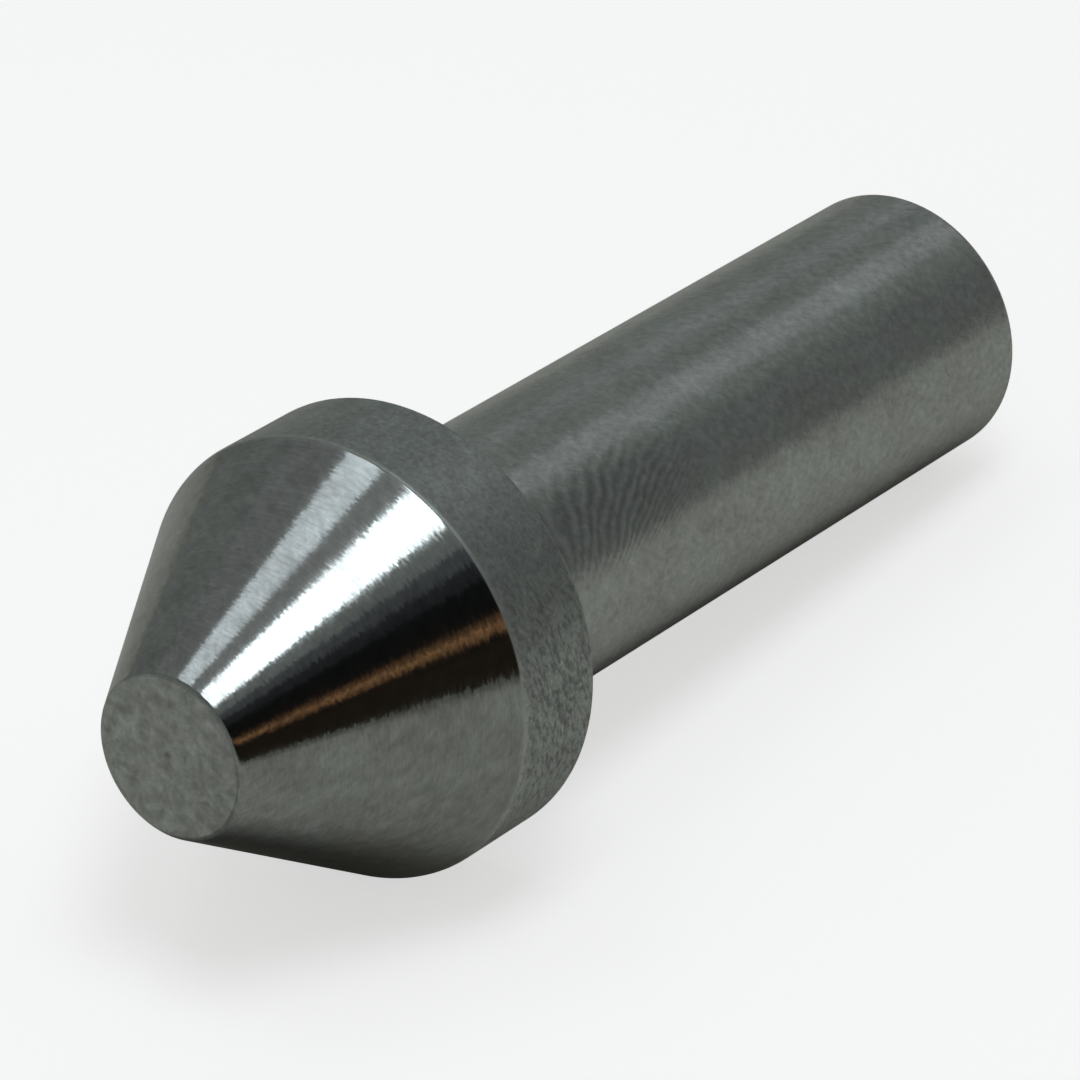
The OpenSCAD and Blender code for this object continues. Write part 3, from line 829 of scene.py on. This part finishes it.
# %% The ball ring tree
def build_ball_ring():
    """Balls in a ring round the X axis."""
    tree, given, result = geometry_tree("ball ring", [
        ("Count", "NodeSocketInt", 9), ("Pitch Radius", "NodeSocketFloat", 0.006),
        ("Ball Radius", "NodeSocketFloat", 0.001), ("Place", "NodeSocketFloat", 0.0),
        ("First Angle", "NodeSocketFloat", 0.0), ("Material", "NodeSocketMaterial", None)])
    circle = add_node(tree, "GeometryNodeMeshCircle", {"Vertices": given["Count"],
                                                       "Radius": given["Pitch Radius"]})
    shift = add_node(tree, "ShaderNodeCombineXYZ", {0: given["Place"]}).outputs[0]
    roll = add_node(tree, "ShaderNodeCombineXYZ", {0: 0.0, 1: math.pi / 2, 2: 0.0}).outputs[0]
    laid = add_node(tree, "GeometryNodeTransform", {"Geometry": circle.outputs[0], "Translation": shift,
                                                    "Rotation": roll})
    turn = add_node(tree, "ShaderNodeCombineXYZ", {0: given["First Angle"]}).outputs[0]
    spun = add_node(tree, "GeometryNodeTransform", {"Geometry": laid.outputs[0], "Rotation": turn})
    ball = add_node(tree, "GeometryNodeMeshIcoSphere", {"Radius": given["Ball Radius"], "Subdivisions": 4})
    smooth = add_node(tree, "GeometryNodeSetShadeSmooth", {"Geometry": ball.outputs[0]}, domain="FACE")
    placed = add_node(tree, "GeometryNodeInstanceOnPoints", {"Points": spun.outputs[0],
                                                             "Instance": smooth.outputs[0]})
    real = add_node(tree, "GeometryNodeRealizeInstances", {0: placed.outputs[0]})
    dressed = add_node(tree, "GeometryNodeSetMaterial", {"Geometry": real.outputs[0],
                                                         "Material": given["Material"]})
    tree.links.new(dressed.outputs[0], result[0])
    return tree


ball_ring = build_ball_ring()


def balls(node, body, count, pitch_r):
    """Replace a node of balls with finely divided ones at the same places."""
    low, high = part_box(node)
    values = {"Count": count, "Pitch Radius": pitch_r, "Ball Radius": (high.x - low.x) / 2,
              "Place": (high.x + low.x) / 2, "First Angle": 0.0, "Material": ball_steel}
    piece = grow("lapped_" + node, bpy.data.meshes.new(node + ".start"), ball_ring, values)
    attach(piece, body)
    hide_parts(node)
    print(piece.name, count, "balls", len(piece.data.polygons), "faces")


balls("main_balls", "main_ball_set", count=14, pitch_r=8.25 * MM)
balls("thrust_balls", "thrust_ball_set", count=9, pitch_r=6 * MM)
balls("front_balls", "front_ball_set", count=9, pitch_r=3.75 * MM)

# %% [markdown]
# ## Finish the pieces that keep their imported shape
#
# The rings, washers, cages, shields, clip, nut, seal and spring already have the right shape, so they
# only get a finish. A table from node to finish keeps the choice in one place.

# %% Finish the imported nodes
NODE_FINISH = {
    "cover_nut": black_steel,
    "shaft_seal": rubber,
    "preload_spring": spring_steel,
    "retaining_ring": black_steel,
    "main_outer_ring": ring_steel,
    "main_inner_ring": ring_steel,
    "main_cage": sheet_steel,
    "main_shield_rear": sheet_steel,
    "main_shield_front": sheet_steel,
    "thrust_shaft_washer": ring_steel,
    "thrust_housing_washer": ring_steel,
    "thrust_cage": cage_brass,
    "front_outer_ring": ring_steel,
    "front_inner_ring": ring_steel,
    "front_cage": sheet_steel,
    "front_shield_rear": sheet_steel,
    "front_shield_front": sheet_steel,
}
for name, finish in NODE_FINISH.items():
    for slot in nodes[name].material_slots:
        slot.material = finish
print("finished", len(NODE_FINISH), "packed nodes")

# %% [markdown]
# ## The table
#
# The center lies on its side and touches the table at two places: the back rim of the head and the rim
# of the tail. That tilts the table against the axis by a few degrees. The table looks white to the
# camera. To the steel it looks mid grey, as a bench does, because a white sheet all round would wash
# every reflection out. The bench is darker in a strip under the part, where the part keeps the light
# off it, and that gives the undersides their dark lower edge.

# %% Lay the table
TABLE_HALF = 4.0
TABLE_WHITE = (0.92, 0.88, 0.85, 1.0)
TABLE_GLOW = 0.62
BENCH_GREY = (0.76, 0.7334, 0.6688)
BENCH_LIFT = 0.02 / 0.76
UNDER_NEAR = 2 * MM
UNDER_FAR = 14 * MM
UNDER_SHADE = 0.38
tilt = math.atan2(head_r - shank_r, tail_x - TAIL_CHAMFER - (head_back_x - REAR_BREAK))
up = Vector((-math.sin(tilt), 0.0, math.cos(tilt)))
along = Vector((math.cos(tilt), 0.0, math.sin(tilt)))
side = Vector((0.0, 1.0, 0.0))
foot = Vector((head_back_x - REAR_BREAK, 0.0, -head_r))


def sheet(name, centre, half_a, half_b, material):
    """A flat four-cornered sheet from its centre and two half sides."""
    mesh = bpy.data.meshes.new(name)
    corners = [centre - half_a - half_b, centre + half_a - half_b,
               centre + half_a + half_b, centre - half_a + half_b]
    mesh.from_pydata([tuple(c) for c in corners], [], [(0, 1, 2, 3)])
    mesh.materials.append(material)
    piece = bpy.data.objects.new(name, mesh)
    bpy.context.scene.collection.objects.link(piece)
    piece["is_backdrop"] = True
    return piece


def table_material():
    """White to the camera and grey to everything else."""
    material = bpy.data.materials.new("table")
    material.use_nodes = True
    tree = material.node_tree
    tree.nodes.clear()
    paper = add_node(tree, "ShaderNodeBsdfDiffuse", {"Color": TABLE_WHITE})
    lift = add_node(tree, "ShaderNodeEmission", {"Strength": TABLE_GLOW})
    seen = add_node(tree, "ShaderNodeAddShader", {0: paper.outputs[0], 1: lift.outputs[0]})
    place = add_node(tree, "ShaderNodeTexCoord").outputs["Object"]
    y = add_node(tree, "ShaderNodeSeparateXYZ", {0: place}).outputs[1]
    away = add_node(tree, "ShaderNodeMapRange",
                    {"Value": add_math(tree, "ABSOLUTE", y), "From Min": UNDER_NEAR, "From Max": UNDER_FAR,
                     "To Min": UNDER_SHADE, "To Max": 1.0}, interpolation_type="SMOOTHSTEP").outputs[0]
    bench = blend_colour(tree, away, (0.0, 0.0, 0.0), BENCH_GREY)
    dull = add_node(tree, "ShaderNodeBsdfDiffuse", {"Color": bench})
    faint = add_node(tree, "ShaderNodeEmission", {"Color": bench, "Strength": BENCH_LIFT})
    hidden = add_node(tree, "ShaderNodeAddShader", {0: dull.outputs[0], 1: faint.outputs[0]})
    eye = add_node(tree, "ShaderNodeLightPath").outputs["Is Camera Ray"]
    both = add_node(tree, "ShaderNodeMixShader", {0: eye, 1: hidden.outputs[0], 2: seen.outputs[0]})
    output = add_node(tree, "ShaderNodeOutputMaterial")
    tree.links.new(both.outputs[0], output.inputs[0])
    return material


sheet("table", foot, along * TABLE_HALF, side * TABLE_HALF, table_material())
print("table tilt", round(math.degrees(tilt), 2), "degrees")

# %% [markdown]
# ## Light cards
#
# Polished steel shows the shape of what lights it, so the light is built from cards. A broad overhead
# panel makes the white band down the cone, and a second one makes the dim streak beside it. Two faint
# haze panels between and beyond them give the streaks their soft outer edges, and two more panels
# further back make the streaks on the shank. A dark screen on the near side makes the black band, with
# a strip of warm wood, its bright edge and a seam across it. A dim wall fills in the shank's near side.

# %% Make the cards
def glow(name, colour, strength):
    """A plain emitting material for a card."""
    material = bpy.data.materials.new(name)
    material.use_nodes = True
    tree = material.node_tree
    tree.nodes.clear()
    light = add_node(tree, "ShaderNodeEmission", {"Color": (*colour, 1.0), "Strength": strength})
    output = add_node(tree, "ShaderNodeOutputMaterial")
    tree.links.new(light.outputs[0], output.inputs[0])
    return material


def card(name, centre, half_a, half_b, colour, strength):
    """A card that the camera doesn't see, from its centre and two half sides."""
    piece = sheet(name, Vector(centre), Vector(half_a), Vector(half_b), glow(name, colour, strength))
    piece.visible_camera = False


PANEL_HEIGHT = 0.6
COOL = (0.9, 0.98, 1.05)
PLAIN = (0.95, 0.99, 1.0)
GREY = (0.9, 0.95, 1.0)
BLUISH = (0.9, 0.95, 1.05)
BROWN = (1.0, 0.75, 0.5)
WOOD = (1.0, 0.55, 0.28)
WOOD_BRIGHT = (1.0, 0.52, 0.24)

panels = [
    ("overhead_panel", (-0.22, -0.213, 1.0), (0.28, 0.06, 0.0), (-0.035, 0.175, 0.0), COOL, 3.2),
    ("second_panel", (-0.14, 0.39, 1.0), (0.2, 0.06, 0.0), (-0.04, 0.15, 0.0), COOL, 1.1),
    ("panel_haze", (-0.18, 0.1, 1.02), (0.28, 0.06, 0.0), (-0.035, 0.19, 0.0), PLAIN, 0.28),
    ("upper_haze", (-0.14, 0.95, 1.02), (0.3, 0.06, 0.0), (-0.04, 0.45, 0.0), PLAIN, 0.225),
    ("shank_panel", (1.19, 0.0, 1.0), (0.35, 0.1, 0.0), (-0.03, 0.21, 0.0), PLAIN, 0.33),
    ("shank_second_panel", (1.75, 1.1, 1.0), (0.3, 0.1, 0.0), (-0.1, 0.25, 0.0), PLAIN, 0.3),
]
for name, centre, half_a, half_b, colour, strength in panels:
    centre, half_a, half_b = (Vector(value) * PANEL_HEIGHT for value in (centre, half_a, half_b))
    card(name, centre, half_a, half_b, colour, strength)

SCREEN_X = -0.2
SCREEN_HALF = (0.22, 0.0, 0.0)
screens = [
    ("dark_screen", -0.3, 0.2225, 0.2285, GREY, 0.008),
    ("screen_top", -0.298, 0.395, 0.055, BLUISH, 0.085),
    ("screen_middle", -0.298, 0.3, 0.04, BLUISH, 0.025),
    ("screen_foot", -0.298, 0.035, 0.04, BROWN, 0.018),
    ("wood_strip", -0.296, 0.118, 0.023, WOOD, 0.1),
    ("wood_edge", -0.294, 0.116, 0.0022, WOOD_BRIGHT, 0.6),
    ("wood_seam", -0.294, 0.105, 0.0015, WOOD_BRIGHT, 0.5),
]
for name, y, z, half_height, colour, strength in screens:
    card(name, (SCREEN_X, y, z), SCREEN_HALF, (0.0, 0.0, half_height), colour, strength)

card("dim_wall", (0.35, -0.35, 0.25), (0.3, 0.1, 0.0), (0.0, 0.0, 0.3), (0.95, 1.0, 0.98), 0.13)
print("cards:", len(panels) + len(screens) + 1)

# %% [markdown]
# ## World
#
# Where no card stands, the steel sees the room. It is a plain grey a little on the green side, like a
# workshop wall in shade. The camera sees plain white behind the table, with no horizon.

# %% Set the world
ROOM_GREY = (0.18, 0.195, 0.19, 1.0)
world = bpy.data.worlds.new("room")
bpy.context.scene.world = world
world.use_nodes = True
tree = world.node_tree
tree.nodes.clear()
eye = add_node(tree, "ShaderNodeLightPath").outputs["Is Camera Ray"]
room = add_node(tree, "ShaderNodeBackground", {"Color": ROOM_GREY, "Strength": 1.0})
white = add_node(tree, "ShaderNodeBackground", {"Color": (1, 1, 1, 1), "Strength": 1.0})
both = add_node(tree, "ShaderNodeMixShader", {0: eye, 1: room.outputs[0], 2: white.outputs[0]})
output = add_node(tree, "ShaderNodeOutputWorld")
tree.links.new(both.outputs[0], output.inputs[0])
print("world:", world.name, "at", ROOM_GREY[:3])

# %% [markdown]
# ## Camera
#
# A long lens from about four hundred millimetres away, a third of a right angle above the table, looking
# at the nose from its left. The table's own directions turn with the tilt, so the picture stays level
# with the table and not with the part's axis.

# %% Place the camera
SENSOR_MM = 36.0
LENS_MM = 216.7
CAMERA_DISTANCE = 424.4 * MM
CAMERA_RISE = math.radians(32.95)
CAMERA_BEARING = math.radians(36.6)
AIM = Vector((13.78, -0.12, -0.12)) * MM

level = -along * math.cos(CAMERA_BEARING) - side * math.sin(CAMERA_BEARING)
back = level * math.cos(CAMERA_RISE) + up * math.sin(CAMERA_RISE)
right = up.cross(back).normalized()
lens = bpy.data.cameras.new("camera")
lens.sensor_width = SENSOR_MM
lens.lens = LENS_MM
lens.clip_start = 0.01
camera = bpy.data.objects.new("camera", lens)
bpy.context.scene.collection.objects.link(camera)
turn = Matrix((right, back.cross(right), back)).transposed()
camera.matrix_world = Matrix.Translation(AIM + back * CAMERA_DISTANCE) @ turn.to_4x4()
bpy.context.scene.camera = camera
bpy.context.scene.view_settings.view_transform = "Standard"
print("camera at", [round(v / MM) for v in camera.location], "mm")

# %% [markdown]
# ## Both boxes
#
# The boxes of the imported model and of the visual model are printed in millimetres. The visual model
# has to stay inside the imported model's box.

# %% Print both boxes
visual_box = [list(corner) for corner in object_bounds()]
for which, box in (("packed", cad_box), ("visual", visual_box)):
    print(which, "box in mm", [[round(value / MM, 2) for value in corner] for corner in box])
